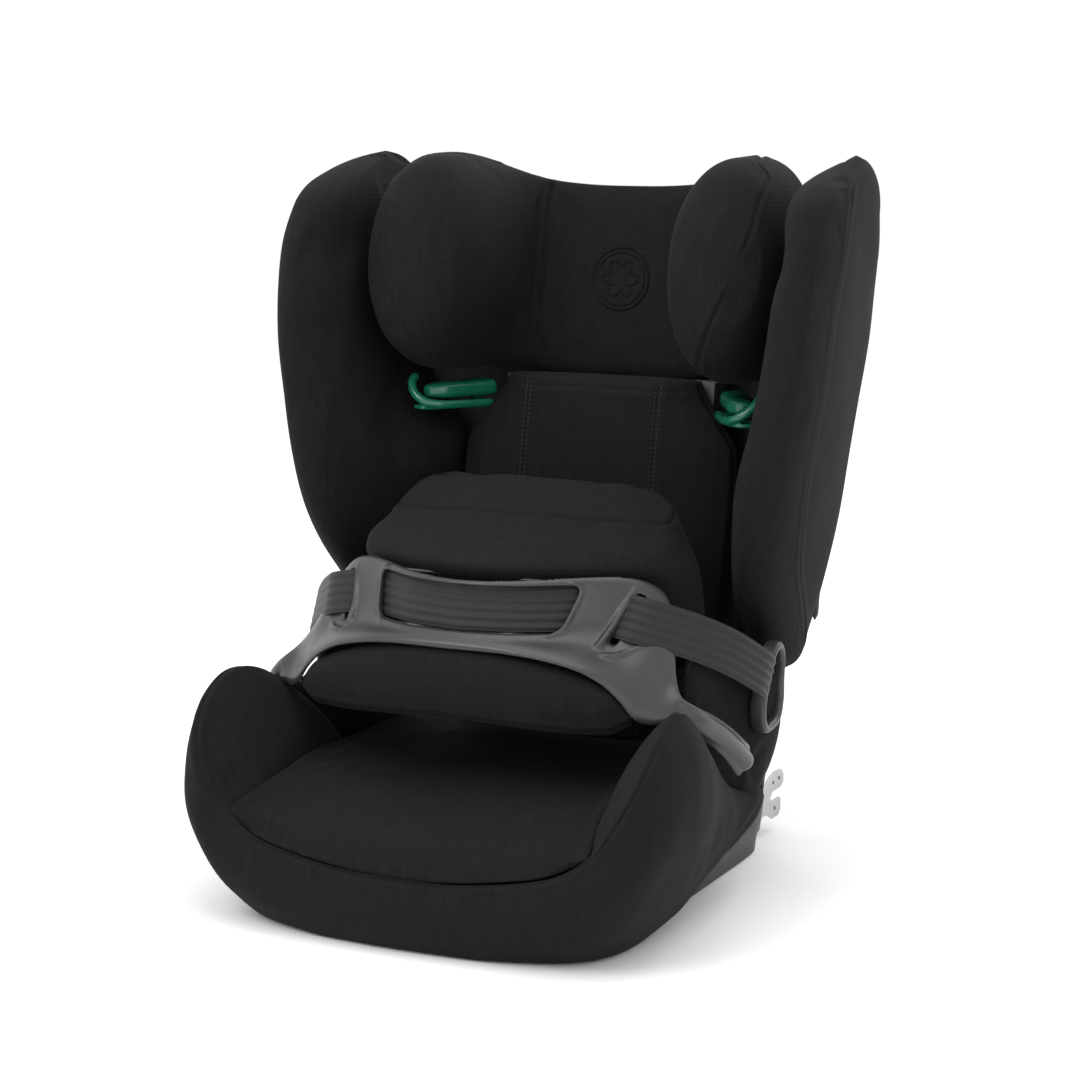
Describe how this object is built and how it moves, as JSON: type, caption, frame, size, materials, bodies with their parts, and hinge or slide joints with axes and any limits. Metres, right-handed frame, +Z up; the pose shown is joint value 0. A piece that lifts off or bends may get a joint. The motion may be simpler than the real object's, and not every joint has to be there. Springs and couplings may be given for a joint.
{
  "type": "high-back child car seat",
  "caption": "High-back child car seat with impact shield, height-adjusting winged headrest, reclining backrest, belt guides and sliding ISOFIX arms.",
  "frame": {"origin": "on the ground, under the middle of the object's box", "axes": "+Z up; the child faces -Y; +X is the right-hand side for someone looking along +Y"},
  "size_m": [0.532, 0.513, 0.6324],
  "materials": {
    "seat_fabric": "black woven knit cover",
    "webbing": "black ribbed polyester webbing",
    "frame_plastic": "dark grey satin moulding",
    "black_plastic": "black fine-textured moulding",
    "green_plastic": "glossy green moulding",
    "red_plastic": "glossy red moulding",
    "steel": "plain bright steel",
    "zinc_steel": "zinc-plated pressed steel",
    "foam": "grey moulded foam"
  },
  "bodies": {
    "base": {"base_shell": "black_plastic", "seat_cushion": "seat_fabric", "bolster_left": "seat_fabric", "bolster_right": "seat_fabric", "seat_skirt": "seat_fabric", "hip_pad_left": "seat_fabric", "hip_pad_right": "seat_fabric", "strap_guide_left": "frame_plastic", "strap_guide_right": "frame_plastic", "hinge_bracket_left": "steel", "hinge_bracket_right": "steel", "recline_pin": "steel", "belt_retractor_frame": "steel", "spool_axle": "steel", "buckle_housing": "black_plastic", "buckle_tongue": "steel", "isofix_rail_left": "zinc_steel", "isofix_rail_right": "zinc_steel"},
    "backrest": {"back_shell": "black_plastic", "back_pad": "seat_fabric", "wing_pad_left": "seat_fabric", "wing_pad_right": "seat_fabric", "back_core": "foam", "head_rail_left": "steel", "head_rail_right": "steel", "height_rack": "black_plastic", "hinge_hook_left": "black_plastic", "hinge_hook_right": "black_plastic"},
    "headrest": {"head_shell": "black_plastic", "head_pad_center": "seat_fabric", "head_wing_pad_left": "seat_fabric", "head_wing_pad_right": "seat_fabric", "belt_guide_left": "green_plastic", "belt_guide_right": "green_plastic", "head_stem": "steel"},
    "head_lever": {"head_adjust_lever": "frame_plastic"},
    "bolt": {"lock_bolt": "steel"},
    "shield": {"shield_frame": "frame_plastic", "shield_pad_upper": "seat_fabric", "shield_pad_lower": "seat_fabric", "shield_core": "foam", "strap_front": "webbing", "strap_left": "webbing", "strap_right": "webbing"},
    "spool": {"belt_spool": "black_plastic"},
    "buckle_release": {"buckle_button": "red_plastic"},
    "isofix_carriage": {"isofix_arm_left": "zinc_steel", "isofix_arm_right": "zinc_steel", "isofix_pin_left": "steel", "isofix_pin_right": "steel", "isofix_crossbar": "steel"},
    "jaw_left": {"isofix_jaw_left": "zinc_steel"},
    "jaw_right": {"isofix_jaw_right": "zinc_steel"},
    "jaw_button_left": {"isofix_button_left": "green_plastic"},
    "jaw_button_right": {"isofix_button_right": "green_plastic"},
    "pull_handle": {"isofix_handle": "frame_plastic"}
  },
  "joints": [
    {"name": "backrest_recline", "type": "hinge", "parent": "base", "child": "backrest", "pos_m": [0, 0.148, 0.094], "axis": [-1, 0, 0], "range_deg": [0, 15]},
    {"name": "headrest_height", "type": "slide", "parent": "backrest", "child": "headrest", "axis": [0, 0.1564, 0.9877], "range_m": [0, 0.168]},
    {"name": "head_lever_squeeze", "type": "hinge", "parent": "headrest", "child": "head_lever", "pos_m": [0, 0.24052, 0.598], "axis": [1, 0, 0], "range_deg": [0, 10], "stiffness_Nm_per_rad": 1, "springref_deg": -5.73},
    {"name": "lock_bolt_travel", "type": "slide", "parent": "headrest", "child": "bolt", "axis": [0, -0.9877, 0.1564], "range_m": [0, 0.0033]},
    {"name": "shield_lift", "type": "slide", "parent": "base", "child": "shield", "axis": [0, -0.5593, 0.829], "range_m": [0, 0.12], "deforming": ["strap_left", "strap_right"]},
    {"name": "belt_spool_turn", "type": "hinge", "parent": "base", "child": "spool", "pos_m": [0.063, -0.085, 0.04], "axis": [1, 0, 0], "range_deg": [0, 262]},
    {"name": "buckle_press", "type": "slide", "parent": "base", "child": "buckle_release", "axis": [0, 0, -1], "range_m": [0, 0.004], "stiffness_N_per_m": 300, "springref_m": -0.004},
    {"name": "isofix_slide", "type": "slide", "parent": "base", "child": "isofix_carriage", "axis": [0, 1, 0], "range_m": [-0.035, 0.06]},
    {"name": "jaw_left_open", "type": "hinge", "parent": "isofix_carriage", "child": "jaw_left", "pos_m": [-0.14, 0.186, 0.034], "axis": [-1, 0, 0], "range_deg": [0, 30], "stiffness_Nm_per_rad": 0.5, "springref_deg": -11.46},
    {"name": "jaw_button_left_slide", "type": "slide", "parent": "isofix_carriage", "child": "jaw_button_left", "axis": [0, 1, 0], "range_m": [0, 0.0024]},
    {"name": "jaw_right_open", "type": "hinge", "parent": "isofix_carriage", "child": "jaw_right", "pos_m": [0.14, 0.186, 0.034], "axis": [-1, 0, 0], "range_deg": [0, 30], "stiffness_Nm_per_rad": 0.5, "springref_deg": -11.46},
    {"name": "jaw_button_right_slide", "type": "slide", "parent": "isofix_carriage", "child": "jaw_button_right", "axis": [0, 1, 0], "range_m": [0, 0.0024]},
    {"name": "isofix_handle_pull", "type": "slide", "parent": "base", "child": "pull_handle", "axis": [0, -1, 0], "range_m": [0, 0.01], "stiffness_N_per_m": 400, "springref_m": -0.004}
  ],
  "couplings": [
    {"joint": "lock_bolt_travel", "follows": "head_lever_squeeze", "m_per_rad": 0.01718},
    {"joint": "belt_spool_turn", "follows": "shield_lift", "rad_per_m": 38},
    {"joint": "jaw_button_left_slide", "follows": "jaw_left_open", "m_per_rad": 0.0043},
    {"joint": "jaw_button_right_slide", "follows": "jaw_right_open", "m_per_rad": 0.0043}
  ]
}
